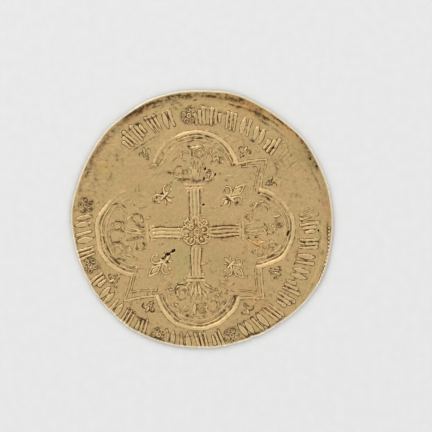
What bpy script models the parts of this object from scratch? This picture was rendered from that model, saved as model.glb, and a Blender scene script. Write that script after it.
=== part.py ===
"""A hammered gold coin lying on its plain side, with the cross side up.

The coin is one struck piece: a thin flan of uneven outline with figures raised on both faces.
Lengths are in metres and angles in degrees. The origin is under the middle of the flan, on the
plane that the coin rests on, and +Z goes up through the cross side.
"""

import math

import bmesh
import bpy
from mathutils import Vector

# The flan, as it was cut out and hammered flat.
FLAN_RADIUS = 0.01524
FLAN_THICKNESS = 0.000306
# Waves of the clipped edge: how many go round, how high each is, and the angle of its start.
EDGE_WAVES = (
    (2, 0.000114, 33),
    (3, 0.000105, 56),
    (4, 0.000041, 114),
    (5, 0.000046, 182),
    (7, 0.000050, 185),
    (10, 0.000030, 350),
    (11, 0.000028, 264),
    (18, 0.000022, 61),
)
EDGE_POINTS = 100

# How far the figures stand up, how wide their sloping flanks are, and how deep their feet sit in
# the flan.
CROSS_SIDE_RELIEF = 0.00012
PLAIN_SIDE_RELIEF = 0.00008
FLANK = 0.00004
FOOT_DEPTH = 0.00001

# The plate that is struck reaches past the flan by this much before it is clipped.
PLATE_MARGIN = 0.0025
PLATE_SIDES = 64
# Points closer than this become one.
WELD = 0.0000001

# The die for the cross side hit the flan off its middle.
DIE_X = -0.00062
DIE_Y = -0.00144

# The border of four lobes and four corners: a thick line and a thin one inside it.
LOBE_DISTANCE = 0.0065
LOBE_RADIUS = 0.0049
LOBE_HALF_TURN = 84
CORNER_REACH = 0.0076
BORDER_WIDTH = 0.00042
BORDER_GAP = 0.00016
THIN_LINE_WIDTH = 0.00018
FACET = 0.00095
THIN_LINE_INSET = BORDER_WIDTH / 2 + BORDER_GAP + THIN_LINE_WIDTH / 2

# The cross, from its rosette to the bars that end its arms.
ROSETTE_RADIUS = 0.00172
ARM_LENGTH = 0.0032
ARM_WIDTH = 0.00128
ARM_LINE_WIDTH = 0.00026
ARM_GROOVE = 0.00009
END_BAR_LENGTH = 0.0019
END_BAR_WIDTH = 0.00042
FINIAL_ROOT_GAP = 0.0002
FINIAL_END_GAP = 0.0008

# The lilies: one in each quarter of the cross, whose petal points into its corner, and small ones
# outside the border, beside the corners. The petal of one lily has worn away.
LILY_LENGTH = 0.0035
LILY_CORNER_GAP = 0.0024
WORN_LILY_ANGLE = 135
SMALL_LILY_LENGTH = 0.0014
SMALL_LILY_GAP = 0.0003
SMALL_LILY_ANGLE = 65
SMALL_LILY_LEAN = 34

# The ring of strokes where the legend runs, and the stops between its words.
LEGEND_GAP = 0.0006
LEGEND_HEIGHT = 0.00195
LEGEND_CELLS = 45
STROKE_WIDTH = 0.00036
STOPS = (12, 21, 25, 31, 36)
WORN_CELLS = (2, 3, 4, 5, 17, 18, 19, 20)
STOP_RADIUS = 0.00062
LEGEND_RADIUS = LOBE_DISTANCE + LOBE_RADIUS + BORDER_WIDTH / 2 + LEGEND_GAP

# The beads that the die left along the right edge.
BEAD_GAP = 0.0012
BEAD_RADIUS = 0.00015
BEAD_SPACING = 0.00045
FIRST_BEAD_ANGLE = -24
LAST_BEAD_ANGLE = 2
BEAD_CIRCLE_RADIUS = LEGEND_RADIUS + LEGEND_HEIGHT + BEAD_GAP + BEAD_RADIUS

# The plain side: a lamb inside a border of small lobes, and a ring of strokes round that.
LAMB_LENGTH = 0.0088
PLAIN_BORDER_RADIUS = 0.0098
PLAIN_BORDER_WIDTH = 0.0004
PLAIN_LOBES = 12
PLAIN_LOBE_DEPTH = 0.0007
PLAIN_LEGEND_GAP = 0.0018
PLAIN_STROKES = 60

GOLD = (0.60, 0.42, 0.17)
GOLD_ROUGHNESS = 0.38


def clear_scene():
    for old in list(bpy.data.objects):
        bpy.data.objects.remove(old)


def make_collection(name):
    made = bpy.data.collections.new(name)
    bpy.context.scene.collection.children.link(made)
    return made


# An outline is a list of (x, y) points that runs anticlockwise. A ring is a pair of outlines with
# the same number of points, the outer one first.


def around(count):
    """Angles in radians, evenly spread over a full turn."""
    return [math.tau * i / count for i in range(count)]


def place(points, x=0.0, y=0.0, angle=0.0, size=1.0):
    """Points scaled by size, turned by angle and then moved to x, y."""
    c = math.cos(math.radians(angle)) * size
    s = math.sin(math.radians(angle)) * size
    return [(x + c * px - s * py, y + s * px + c * py) for px, py in points]


def place_all(outlines, **where):
    return [place(points, **where) for points in outlines]


def polar(radius, angle):
    return radius * math.cos(math.radians(angle)), radius * math.sin(math.radians(angle))


def disc(radius, sides, x=0.0, y=0.0):
    return [(x + radius * math.cos(a), y + radius * math.sin(a)) for a in around(sides)]


def disc_arc(radius, first, turn, steps):
    return [polar(radius, first + turn * i / steps) for i in range(steps + 1)]


def flower(radius, petals, depth, per_petal=4):
    """A scalloped outline: petals round a middle, with notches of that depth between them."""
    points = []
    for a in around(petals * per_petal):
        notch = abs(math.cos(petals * a / 2))
        points.append(((radius - depth * (1 - notch)) * math.cos(a),
                       (radius - depth * (1 - notch)) * math.sin(a)))
    return points


def bar(length, width, foot=0.0):
    """A bar along +Y from y = 0, whose ends are wider than its middle by the share foot."""
    end = width / 2 * (1 + foot)
    middle = width / 2
    if not foot:
        return [(-middle, 0), (middle, 0), (middle, length), (-middle, length)]
    return [(-end, 0), (end, 0), (middle, length / 2), (end, length), (-end, length),
            (-middle, length / 2)]


def leaf(length, width, steps=3, widest=0.45):
    """A leaf along +Y from y = 0, pointed at both ends."""
    right = []
    for i in range(1, 2 * steps):
        t = i / (2 * steps)
        swell = math.sin(math.pi * t ** (math.log(0.5) / math.log(widest)))
        right.append((width / 2 * swell, length * t))
    return [(0, 0)] + right + [(0, length)] + [(-x, y) for x, y in reversed(right)]


def hook(radius, width, first, turn, steps=5, tip=0.35):
    """A curved stroke whose width runs down to the share tip at its far end."""
    outer = []
    inner = []
    for i in range(steps + 1):
        t = i / steps
        a = math.radians(first + turn * t)
        half = width / 2 * (1 - (1 - tip) * t)
        outer.append(((radius + half) * math.cos(a), (radius + half) * math.sin(a)))
        inner.append(((radius - half) * math.cos(a), (radius - half) * math.sin(a)))
    points = outer + inner[::-1]
    return points if turn > 0 else points[::-1]


def mirrored(points):
    return [(-x, y) for x, y in reversed(points)]


def moved_out(points, distance):
    """A closed outline moved outwards by a distance, with its corners kept sharp."""
    count = len(points)
    moved = []
    for i in range(count):
        before = Vector(points[i]) - Vector(points[i - 1])
        after = Vector(points[(i + 1) % count]) - Vector(points[i])
        first = Vector((before.y, -before.x)).normalized()
        second = Vector((after.y, -after.x)).normalized()
        middle = (first + second).normalized()
        reach = distance / max(0.5, middle.dot(first))
        moved.append((points[i][0] + middle.x * reach, points[i][1] + middle.y * reach))
    return moved


def ridge(path, width):
    """The ring of a raised line that follows a closed path."""
    return moved_out(path, width / 2), moved_out(path, -width / 2)


# The figures of the cross side.


def border_path(inset):
    """The closed path of lobes and corners, inset from the middle of the thick line."""
    radius = LOBE_RADIUS - inset
    steps = max(6, round(math.radians(2 * LOBE_HALF_TURN) * radius / FACET))
    path = []
    for axis in (0, 90, 180, 270):
        lobe = disc_arc(radius, axis - LOBE_HALF_TURN, 2 * LOBE_HALF_TURN, steps)
        x, y = polar(LOBE_DISTANCE, axis)
        path += place(lobe, x=x, y=y)
        path.append(polar(corner_distance(inset), axis + 45))
    return path


def corner_distance(inset):
    """How far the point of a corner is from the middle, on a path inset by so much."""
    return (CORNER_REACH - inset) * math.sqrt(2)


def border():
    return [ridge(border_path(0), BORDER_WIDTH),
            ridge(border_path(THIN_LINE_INSET), THIN_LINE_WIDTH)]


def cross_arms():
    """Each arm has a broad line between two thin ones and ends in a cross bar."""
    start = ROSETTE_RADIUS
    middle_width = ARM_WIDTH - 2 * ARM_LINE_WIDTH - 2 * ARM_GROOVE
    side = ARM_WIDTH / 2 - ARM_LINE_WIDTH / 2
    one_arm = [
        place(bar(ARM_LENGTH, middle_width), y=start),
        place(bar(ARM_LENGTH, ARM_LINE_WIDTH), x=side, y=start),
        place(bar(ARM_LENGTH, ARM_LINE_WIDTH), x=-side, y=start),
        place(bar(END_BAR_LENGTH, END_BAR_WIDTH, 0.5),
              x=END_BAR_LENGTH / 2, y=start + ARM_LENGTH + END_BAR_WIDTH, angle=90),
    ]
    return [points for turn in (0, 90, 180, 270) for points in place_all(one_arm, angle=turn)]


def finial():
    """The leafy end of an arm along +Y, as shares of its length: a stem, two curled leaves with a
    bud in each, two slim leaves, a flower to the right of the line and a petal to the left."""
    curl_side, curl_out, curl_radius = 0.42, 0.36, 0.155
    curl = place(hook(curl_radius, 0.08, 205, -280, steps=6, tip=0.5), x=curl_side, y=curl_out)
    bud = disc(0.05, 5, curl_side, curl_out)
    slim_leaf = place(leaf(0.44, 0.08, steps=2), x=0.10, angle=-14)
    stem = leaf(0.62, 0.13, steps=2, widest=0.6)
    flower_ring = place(hook(0.13, 0.07, 90, 340, steps=8, tip=0.9), x=0.11, y=0.83)
    flower_heart = disc(0.045, 5, 0.11, 0.83)
    petal = place(leaf(0.26, 0.12, steps=2), x=-0.20, y=0.66, angle=28)
    pairs = [curl, bud, slim_leaf]
    return [stem, flower_ring, flower_heart, petal] + pairs + [mirrored(p) for p in pairs]


def finials():
    """One at the end of each arm, as long as the border leaves room for."""
    base = ROSETTE_RADIUS + ARM_LENGTH + END_BAR_WIDTH + FINIAL_ROOT_GAP
    border_inside = LOBE_DISTANCE + LOBE_RADIUS - THIN_LINE_INSET - THIN_LINE_WIDTH / 2
    length = border_inside - FINIAL_END_GAP - base
    outlines = []
    for turn in (0, 90, 180, 270):
        x, y = polar(base, turn + 90)
        outlines += place_all(finial(), x=x, y=y, angle=turn, size=length)
    return outlines


def rosette():
    """Four round petals on the arms' lines, four knobs between them and a flower in the middle,
    as shares of the rosette's radius."""
    outlines = [flower(0.27, 5, 0.09, 2)]
    for axis in (0, 90, 180, 270):
        x, y = polar(0.62, axis)
        outlines.append(place(hook(0.22, 0.15, 180, 340, steps=6, tip=1.0), x=x, y=y, angle=axis))
        x, y = polar(0.86, axis + 45)
        outlines.append(disc(0.16, 6, x, y))
    return place_all(outlines, size=ROSETTE_RADIUS)


LILY_TIP = 0.59


def lily():
    """A lily along +Y round its tie, as shares of its length, its top petal first."""
    top = place(leaf(0.54, 0.30, steps=2, widest=0.5), y=LILY_TIP - 0.54)
    side = place(hook(0.14, 0.10, 175, -205, steps=5, tip=0.5), x=0.27, y=-0.01)
    tie = place(bar(0.34, 0.065), x=0.17, y=-0.10, angle=90)
    tail = place(leaf(0.32, 0.12, steps=2), y=-0.13, angle=180)
    side_tail = place(leaf(0.27, 0.09, steps=2), x=0.07, y=-0.13, angle=214)
    return [top, side, mirrored(side), tie, tail, side_tail, mirrored(side_tail)]


def small_lily():
    """The same flower with fewer cuts, for the small ones."""
    top = place(leaf(0.50, 0.26, steps=2), y=0.05)
    side = place(leaf(0.42, 0.22, steps=1), x=0.09, y=0.02, angle=-62)
    tail = place(leaf(0.44, 0.20, steps=1), y=-0.05, angle=180)
    return [top, side, mirrored(side), tail]


def lilies():
    petal_tip = LILY_TIP * LILY_LENGTH
    radius = corner_distance(THIN_LINE_INSET) - LILY_CORNER_GAP - petal_tip
    outlines = []
    for angle in (45, 135, 225, 315):
        x, y = polar(radius, angle)
        figure = lily()[1:] if angle == WORN_LILY_ANGLE else lily()
        outlines += place_all(figure, x=x, y=y, angle=angle - 90, size=LILY_LENGTH)
    return outlines


def small_lilies():
    """One on each side of each lobe."""
    radius = LOBE_RADIUS + BORDER_WIDTH / 2 + SMALL_LILY_GAP + SMALL_LILY_LENGTH / 2
    outlines = []
    for axis in (0, 90, 180, 270):
        lobe_x, lobe_y = polar(LOBE_DISTANCE, axis)
        for side in (-1, 1):
            x, y = polar(radius, axis + side * SMALL_LILY_ANGLE)
            outlines += place_all(small_lily(), x=lobe_x + x, y=lobe_y + y,
                                  angle=axis + side * SMALL_LILY_LEAN - 90,
                                  size=SMALL_LILY_LENGTH)
    return outlines


def stroke_group(kind):
    """One cell of the legend, a unit high: plain strokes that spell nothing."""
    thin = STROKE_WIDTH / LEGEND_HEIGHT
    if kind == 0:
        return [place(bar(1.0, thin), x=-0.24), place(bar(0.72, thin), x=0.04, y=0.14),
                place(bar(0.44, thin), x=0.30, y=0.28)]
    if kind == 1:
        crescent = place(hook(0.62, thin, -38, 76, 3, 1.0), x=-0.82, y=0.5)
        return [crescent, mirrored(crescent), disc(thin * 0.55, 4, 0, 0.96)]
    if kind == 2:
        return [place(bar(0.62, thin), x=-0.22, y=0.38, angle=12),
                place(bar(0.92, thin), x=0.16, angle=12), disc(thin * 0.55, 4, -0.2, 0.12)]
    if kind == 3:
        return [place(bar(0.9, thin, 0.4), x=-0.2, y=0.05), disc(thin * 0.6, 5, 0.18, 0.78),
                disc(thin * 0.6, 5, 0.18, 0.22)]
    return [place(bar(0.5, thin), x=-0.28, y=0.5), bar(1.0, thin, 0.4),
            place(bar(0.5, thin), x=0.28)]


def legend():
    """Groups of strokes that stand round a circle, feet inwards, with bare metal where they have
    worn away."""
    outlines = []
    for cell in range(LEGEND_CELLS):
        if cell in STOPS or cell in WORN_CELLS:
            continue
        angle = 360 * cell / LEGEND_CELLS
        x, y = polar(LEGEND_RADIUS, angle)
        outlines += place_all(stroke_group(cell * 3 % 5), x=x, y=y, angle=angle - 90,
                              size=LEGEND_HEIGHT)
    return outlines


def stops():
    outlines = []
    for cell in STOPS:
        angle = 360 * cell / LEGEND_CELLS
        x, y = polar(LEGEND_RADIUS + LEGEND_HEIGHT / 2, angle)
        outlines.append(place(flower(STOP_RADIUS, 5, STOP_RADIUS * 0.35, 3), x=x, y=y, angle=angle))
    return outlines


def beads():
    step = math.degrees(BEAD_SPACING / BEAD_CIRCLE_RADIUS)
    count = int((LAST_BEAD_ANGLE - FIRST_BEAD_ANGLE) / step) + 1
    return [disc(BEAD_RADIUS, 6, *polar(BEAD_CIRCLE_RADIUS, FIRST_BEAD_ANGLE + i * step))
            for i in range(count)]


# The figures of the plain side.


def plain_border():
    path = []
    for a in around(PLAIN_LOBES * 6):
        radius = PLAIN_BORDER_RADIUS - PLAIN_LOBE_DEPTH * (1 - abs(math.sin(PLAIN_LOBES * a / 2)))
        path.append(polar(radius, math.degrees(a)))
    return [ridge(path, PLAIN_BORDER_WIDTH)]


def plain_legend():
    """A ring of upright strokes, every third one shorter."""
    radius = PLAIN_BORDER_RADIUS + PLAIN_BORDER_WIDTH / 2 + PLAIN_LEGEND_GAP
    outlines = []
    for i in range(PLAIN_STROKES):
        angle = 360 * i / PLAIN_STROKES
        x, y = polar(radius, angle)
        length = LEGEND_HEIGHT if i % 3 else LEGEND_HEIGHT * 0.6
        outlines.append(place(bar(length, STROKE_WIDTH), x=x, y=y, angle=angle - 90))
    return outlines


def lamb():
    """A standing lamb in outline, as shares of its length, with a staff over its back."""
    body = [(0.29 * math.cos(a), 0.03 + 0.17 * math.sin(a)) for a in around(14)]
    head = place([(0.14 * math.cos(a), 0.09 * math.sin(a)) for a in around(8)],
                 x=0.43, y=0.25, angle=28)
    legs = [place(bar(0.26, 0.06, 0.2), x=x, y=-0.42, angle=lean)
            for x, lean in ((-0.20, -4), (-0.09, 5), (0.10, -4), (0.22, 6))]
    tail = place(leaf(0.26, 0.09, steps=2), x=-0.31, y=0.06, angle=150)
    staff = place(bar(0.24, 0.04), y=0.23)
    banner = place(bar(0.24, 0.10), x=0.12, y=0.52, angle=90)
    top = place(flower(0.06, 4, 0.02, 2), y=0.66)
    return place_all([body, head, tail, staff, banner, top] + legs, angle=180, size=LAMB_LENGTH)


# Solids.


def edge_radius(angle):
    waves = [height * math.cos(count * angle + math.radians(start))
             for count, height, start in EDGE_WAVES]
    return FLAN_RADIUS + sum(waves)


def flan_outline():
    """The uneven edge, moved so that the middle of its box is at the origin."""
    points = [polar(edge_radius(a), math.degrees(a)) for a in around(EDGE_POINTS)]
    x = (min(p[0] for p in points) + max(p[0] for p in points)) / 2
    y = (min(p[1] for p in points) + max(p[1] for p in points)) / 2
    return place(points, x=-x, y=-y)


def flat_curve(name, figure):
    """A flat curve that is filled between the outlines of a figure."""
    curve = bpy.data.curves.new(name, "CURVE")
    curve.dimensions = "2D"
    curve.fill_mode = "BOTH"
    for points in figure if isinstance(figure, tuple) else (figure,):
        spline = curve.splines.new("POLY")
        spline.points.add(len(points) - 1)
        for point, (x, y) in zip(spline.points, points):
            point.co = (x, y, 0, 1)
        spline.use_cyclic_u = True
    return curve


def mesh_of(curve):
    """The closed mesh of a curve, with its loose caps welded on."""
    shape = bpy.data.objects.new(curve.name, curve)
    bpy.context.scene.collection.objects.link(shape)
    graph = bpy.context.evaluated_depsgraph_get()
    mesh = bpy.data.meshes.new_from_object(shape.evaluated_get(graph))
    bpy.data.objects.remove(shape)
    work = bmesh.new()
    work.from_mesh(mesh)
    bmesh.ops.remove_doubles(work, verts=work.verts, dist=WELD)
    work.to_mesh(mesh)
    work.free()
    return mesh


def raised_figures(name, figures, foot, face):
    """One mesh of every figure. Each is widest at the height foot, just inside the coin, and its
    bevel slopes in to its flat face."""
    work = bmesh.new()
    for figure in figures:
        curve = flat_curve(name, figure)
        curve.bevel_depth = FLANK
        curve.bevel_resolution = 0
        curve.offset = -FLANK
        work.from_mesh(mesh_of(curve))
    bmesh.ops.scale(work, verts=work.verts, vec=(1, 1, abs(face - foot) / FLANK))
    bmesh.ops.translate(work, verts=work.verts, vec=(0, 0, foot))
    mesh = bpy.data.meshes.new(name)
    work.to_mesh(mesh)
    work.free()
    return mesh


def make_tool(name, mesh, tools):
    """An object that a Boolean uses and that isn't seen itself."""
    tool = bpy.data.objects.new(name, mesh)
    tool.hide_render = True
    tool.display_type = "WIRE"
    tools.objects.link(tool)
    return tool


def combine(coin, tool, operation):
    boolean = coin.modifiers.new(tool.name, "BOOLEAN")
    boolean.operation = operation
    boolean.solver = "EXACT"
    boolean.use_self = operation == "UNION"
    boolean.object = tool


def gold():
    material = bpy.data.materials.new("gold")
    material.use_nodes = True
    shader = material.node_tree.nodes["Principled BSDF"]
    shader.inputs["Base Color"].default_value = (*GOLD, 1)
    shader.inputs["Metallic"].default_value = 1
    shader.inputs["Roughness"].default_value = GOLD_ROUGHNESS
    return material


def make_plate(low, high, parts):
    """The round plate that is struck and then clipped to the flan's outline."""
    bpy.ops.mesh.primitive_cylinder_add(
        vertices=PLATE_SIDES, radius=FLAN_RADIUS + PLATE_MARGIN, depth=high - low,
        location=(0, 0, (low + high) / 2))
    plate = bpy.context.object
    plate.name = "coin"
    plate.data.materials.append(gold())
    for held in list(plate.users_collection):
        held.objects.unlink(plate)
    parts.objects.link(plate)
    return plate


def cross_side():
    figures = (cross_arms() + finials() + rosette() + lilies() + small_lilies() + legend()
               + stops() + beads())
    rings = [tuple(place_all(ring, x=DIE_X, y=DIE_Y)) for ring in border()]
    return place_all(figures, x=DIE_X, y=DIE_Y) + rings


def plain_side():
    return lamb() + plain_legend() + plain_border()


def build_coin():
    clear_scene()
    parts = make_collection("gold_coin")
    tools = make_collection("tools")

    plain_field = PLAIN_SIDE_RELIEF
    cross_field = plain_field + FLAN_THICKNESS
    top = cross_field + CROSS_SIDE_RELIEF
    coin = make_plate(plain_field, cross_field, parts)

    crossed = raised_figures("cross_side", cross_side(), cross_field - FOOT_DEPTH, top)
    combine(coin, make_tool("cross_side", crossed, tools), "UNION")
    plain = raised_figures("plain_side", plain_side(), plain_field + FOOT_DEPTH, 0.0)
    combine(coin, make_tool("plain_side", plain, tools), "UNION")

    edge = flat_curve("clipped_edge", flan_outline())
    edge.extrude = 2 * top
    combine(coin, make_tool("clipped_edge", mesh_of(edge), tools), "INTERSECT")


build_coin()
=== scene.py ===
# %% [markdown]
# # A hammered gold coin
#
# The coin is one thin piece of gold. A round blank was cut out, laid between two engraved dies and
# struck by hand, so its edge is uneven, the design sits off its middle, and some figures are weak.
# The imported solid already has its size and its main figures. This lesson makes the same coin with
# the fine relief, the wear and the brown toning that a photograph of such a coin shows.

# %% Load the frame
import math

import bmesh
import bpy
import numpy as np
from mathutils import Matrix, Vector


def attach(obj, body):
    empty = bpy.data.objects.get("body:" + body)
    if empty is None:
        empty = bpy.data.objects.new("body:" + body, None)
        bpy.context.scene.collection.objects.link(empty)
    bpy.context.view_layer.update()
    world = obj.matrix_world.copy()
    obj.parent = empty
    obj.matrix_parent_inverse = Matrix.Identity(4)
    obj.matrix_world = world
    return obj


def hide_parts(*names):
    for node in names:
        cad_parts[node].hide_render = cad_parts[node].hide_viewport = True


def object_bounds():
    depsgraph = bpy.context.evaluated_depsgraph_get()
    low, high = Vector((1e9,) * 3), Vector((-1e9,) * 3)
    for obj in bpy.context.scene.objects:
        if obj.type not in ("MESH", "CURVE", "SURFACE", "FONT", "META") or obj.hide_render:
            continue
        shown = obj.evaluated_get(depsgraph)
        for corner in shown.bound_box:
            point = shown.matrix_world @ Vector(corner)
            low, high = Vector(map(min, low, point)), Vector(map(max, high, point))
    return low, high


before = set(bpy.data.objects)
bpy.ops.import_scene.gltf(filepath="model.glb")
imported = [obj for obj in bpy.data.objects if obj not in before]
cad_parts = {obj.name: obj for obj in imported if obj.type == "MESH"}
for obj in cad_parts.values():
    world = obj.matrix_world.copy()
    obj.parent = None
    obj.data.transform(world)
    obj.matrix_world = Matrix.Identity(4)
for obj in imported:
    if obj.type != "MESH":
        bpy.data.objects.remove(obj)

solid_low, solid_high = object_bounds()
print("The solid is", [round(1000 * side, 3) for side in solid_high - solid_low], "mm")

# %% [markdown]
# ## Where things are
#
# Blender works in metres, and a coin is easier to think of in millimetres, so the relief is drawn
# in millimetres and made metres when it reaches the mesh. Two levels matter: the field of the
# cross side, which is the flat ground round the figures, and the field of the plain side.

# %% Name the levels
MM = 0.001
COIN_TOP = solid_high.z / MM
CROSS_RELIEF = 0.12
PLAIN_RELIEF = 0.08
CROSS_FIELD = COIN_TOP - CROSS_RELIEF
PLAIN_FIELD = PLAIN_RELIEF
CROSS_PLACE = np.array((-0.62, -1.44))
PLAIN_PLACE = np.array((0.0, 0.0))
print("The cross side's field is", round(CROSS_FIELD, 3), "mm above the floor")

# %% [markdown]
# ## The camera
#
# The photograph was taken from straight above. A long lens far away keeps the view nearly without
# perspective, as a copy stand does. Its height follows from how wide the view is at the coin.

# %% Hang the camera over the coin
VIEW_WIDTH = 50.48
VIEW_X = 1.64
VIEW_Y = 0.37
LENS = 150.0


def hang_camera():
    lens = bpy.data.cameras.new("copy_camera")
    lens.lens = LENS
    lens.clip_start = 0.01
    lens.clip_end = 10
    camera = bpy.data.objects.new("copy_camera", lens)
    height = VIEW_WIDTH * LENS / lens.sensor_width
    camera.location = (VIEW_X * MM, VIEW_Y * MM, (height + CROSS_FIELD) * MM)
    bpy.context.scene.collection.objects.link(camera)
    bpy.context.scene.camera = camera
    return height


print("The camera hangs", round(hang_camera()), "mm over the coin")

# %% [markdown]
# ## The floor
#
# The coin lies on a plain pale table. A table has a little tooth of its own, so the plane gets a
# matt finish with a faint mottle. A node tree is easiest to read as a sum, so a small class wraps
# a socket: adding or multiplying two of them adds the Math node that does it.

# %% Write shader maths as sums
class Wire:
    """A socket of a material's nodes. Sums of wires add Math nodes to the tree."""

    tree = None

    def __init__(self, socket):
        self.socket = socket

    @classmethod
    def node(cls, kind, settings=None, values=None, output=0):
        """A node of that kind, with its settings first and then its sockets' values or links."""
        made = cls.tree.nodes.new(kind)
        for name, value in (settings or {}).items():
            setattr(made, name, value)
        for name, value in (values or {}).items():
            if isinstance(value, Wire):
                cls.tree.links.new(value.socket, made.inputs[name])
            else:
                made.inputs[name].default_value = value
        return cls(made.outputs[output])

    def maths(self, operation, first, second=0.0, clamp=False):
        return self.node("ShaderNodeMath", {"operation": operation, "use_clamp": clamp},
                         {0: first, 1: second})

    def __add__(self, other):
        return self.maths("ADD", self, other)

    def __sub__(self, other):
        return self.maths("SUBTRACT", self, other)

    def __rsub__(self, other):
        return self.maths("SUBTRACT", other, self)

    def __mul__(self, other):
        return self.maths("MULTIPLY", self, other)

    def __truediv__(self, other):
        return self.maths("DIVIDE", self, other)

    __radd__ = __add__
    __rmul__ = __mul__

    def size(self):
        return self.maths("ABSOLUTE", self)

    def held(self):
        """The value kept between 0 and 1."""
        return self.maths("ADD", self, 0.0, clamp=True)

    def ramp(self, start, end):
        """0 at start and 1 at end, with a smooth step between them."""
        return self.node("ShaderNodeMapRange", {"interpolation_type": "SMOOTHSTEP"},
                         {"Value": self, "From Min": start, "From Max": end})


def mixed(share, first, second, blend="MIX"):
    """Two colours mixed by a share."""
    return Wire.node("ShaderNodeMix", {"data_type": "RGBA", "blend_type": blend},
                     {0: share, 6: first, 7: second}, 2)


def new_material(name):
    """A material with its own tree, its shader and the object's coordinates."""
    material = bpy.data.materials.new(name)
    material.use_nodes = True
    Wire.tree = material.node_tree
    shader = material.node_tree.nodes["Principled BSDF"]
    place = Wire.node("ShaderNodeTexCoord", output="Object")
    return material, shader, place


def noise(place, scale, detail=3, rough=0.5):
    """Noise with that many spots to a metre, about 0.5 on average."""
    return Wire.node("ShaderNodeTexNoise", {"noise_dimensions": "3D"},
                     {"Vector": place, "Scale": scale, "Detail": detail, "Roughness": rough})


def feed(shader, name, value):
    Wire.tree.links.new(value.socket, shader.inputs[name])


print("Wires are ready")

# %% Lay the floor
FLOOR_SIZE = 1.6
FLOOR_GAP = 0.00001
FLOOR_SPOTS = 900
FLOOR_DARKER = (0.610, 0.605, 0.590, 1)
FLOOR_PALER = (0.625, 0.620, 0.605, 1)


def floor_finish():
    material, shader, place = new_material("pale_table")
    mottle = noise(place, FLOOR_SPOTS, 4).ramp(0.3, 0.7)
    feed(shader, "Base Color", mixed(mottle, FLOOR_DARKER, FLOOR_PALER))
    shader.inputs["Roughness"].default_value = 0.9
    shader.inputs["Specular IOR Level"].default_value = 0.2
    return material


def lay_floor():
    bpy.ops.object.select_all(action="DESELECT")
    bpy.ops.mesh.primitive_plane_add(size=FLOOR_SIZE, location=(0, 0, -FLOOR_GAP))
    floor = bpy.context.object
    floor.name = "table"
    bpy.ops.object.transform_apply(location=True)
    floor.data.materials.append(floor_finish())
    return floor


print("The floor is", lay_floor().dimensions.x, "m wide")

# %% [markdown]
# ## The light
#
# Gold shows what it reflects. The flat field looks straight back up, and the flanks of the figures
# look out to the sides. In the photograph the field is even and the flanks and the rim are paler,
# so the light is a soft tent: a grey sky with paler panels standing all round, one a bit stronger.

# %% Set up the light tent
SKY = (0.86, 0.88, 0.92, 1)
SKY_STRENGTH = 0.70
PANEL_SIZE = 0.40
PANEL_DISTANCE = 0.55
# Each panel's direction round the coin, its height above the table in degrees, and its power.
PANELS = ((120, 38, 1.6), (30, 34, 0.85), (300, 34, 0.9), (210, 34, 0.85))


def hang_panel(number, turn, lift, power):
    light = bpy.data.lights.new(f"panel_{number}", "AREA")
    light.shape = "SQUARE"
    light.size = PANEL_SIZE
    light.energy = power
    panel = bpy.data.objects.new(light.name, light)
    flat = PANEL_DISTANCE * math.cos(math.radians(lift))
    panel.location = (flat * math.cos(math.radians(turn)), flat * math.sin(math.radians(turn)),
                      PANEL_DISTANCE * math.sin(math.radians(lift)))
    panel.rotation_mode = "QUATERNION"
    panel.rotation_quaternion = panel.location.to_track_quat("Z", "Y")
    bpy.context.scene.collection.objects.link(panel)


def light_tent():
    world = bpy.data.worlds.new("tent")
    world.use_nodes = True
    sky = world.node_tree.nodes["Background"]
    sky.inputs["Color"].default_value = SKY
    sky.inputs["Strength"].default_value = SKY_STRENGTH
    bpy.context.scene.world = world
    bpy.context.scene.view_settings.view_transform = "Standard"
    for number, panel in enumerate(PANELS):
        hang_panel(number, *panel)


light_tent()
print(len(PANELS), "panels stand round the coin")

# %% [markdown]
# ## The clipped edge
#
# The edge of a hammered coin is never a true circle. A circle with a few waves of different
# lengths added to its radius gives a soft uneven outline, and short dips give the small nicks and
# lips that the photograph shows along the lower edge.

# %% Describe the edge
FLAN_RADIUS = 15.24
OUTLINE_POINTS = 100
# Waves: how many go round, how high each is, and the angle of its start.
EDGE_WAVES = (
    (2, 0.114, 33), (3, 0.105, 56), (4, 0.041, 114), (5, 0.046, 182), (7, 0.05, 185),
    (10, 0.03, 350), (11, 0.028, 264), (18, 0.022, 61))
# Nicks: the angle of each, half its width in degrees, and its depth.
NICKS = (
    (208, 1.4, 0.05), (216, 1.0, 0.09), (221, 0.8, 0.06), (226, 1.6, 0.1), (233, 0.9, 0.07),
    (240, 1.2, 0.06), (293, 1.6, 0.12), (300, 0.8, 0.05), (270, 1.0, 0.04), (255, 0.7, 0.05),
    (142, 0.8, 0.05), (190, 0.9, 0.03), (318, 0.8, 0.04), (338, 0.6, 0.03), (63, 0.7, 0.02))


def around(radius, angles):
    """Points round the middle, one at each angle in radians."""
    return np.column_stack((radius * np.cos(angles), radius * np.sin(angles)))


def waved_radius(angle):
    """The edge's distance from the flan's centre at an angle in radians."""
    waves = [high * np.cos(count * angle + math.radians(start)) for count, high, start in EDGE_WAVES]
    return FLAN_RADIUS + sum(waves)


def edge_radius(angle):
    dips = 0
    for middle, half, depth in NICKS:
        away = (np.degrees(angle) - middle + 180) % 360 - 180
        dips = dips + depth * np.exp(-(away / half) ** 2)
    return waved_radius(angle) - dips


def flan_centre():
    """The solid's outline is moved so that the middle of its box is at the origin."""
    angles = np.arange(OUTLINE_POINTS) * math.tau / OUTLINE_POINTS
    outline = around(waved_radius(angles), angles)
    return -(outline.min(0) + outline.max(0)) / 2


FLAN_CENTRE = flan_centre()
print("The flan's centre is at", FLAN_CENTRE.round(3), "mm")

# %% [markdown]
# ## The die
#
# The relief has hundreds of small strokes, and modelling each as its own piece would lose the way
# they run together in struck metal. A real die solves this by being one surface, cut stroke by
# stroke. Here the die is a fine grid of heights: each stroke is a path with a width, and the grid
# keeps the highest of them all. It also keeps how far each point is from the nearest foot, because
# brown dirt gathers there.

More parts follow.
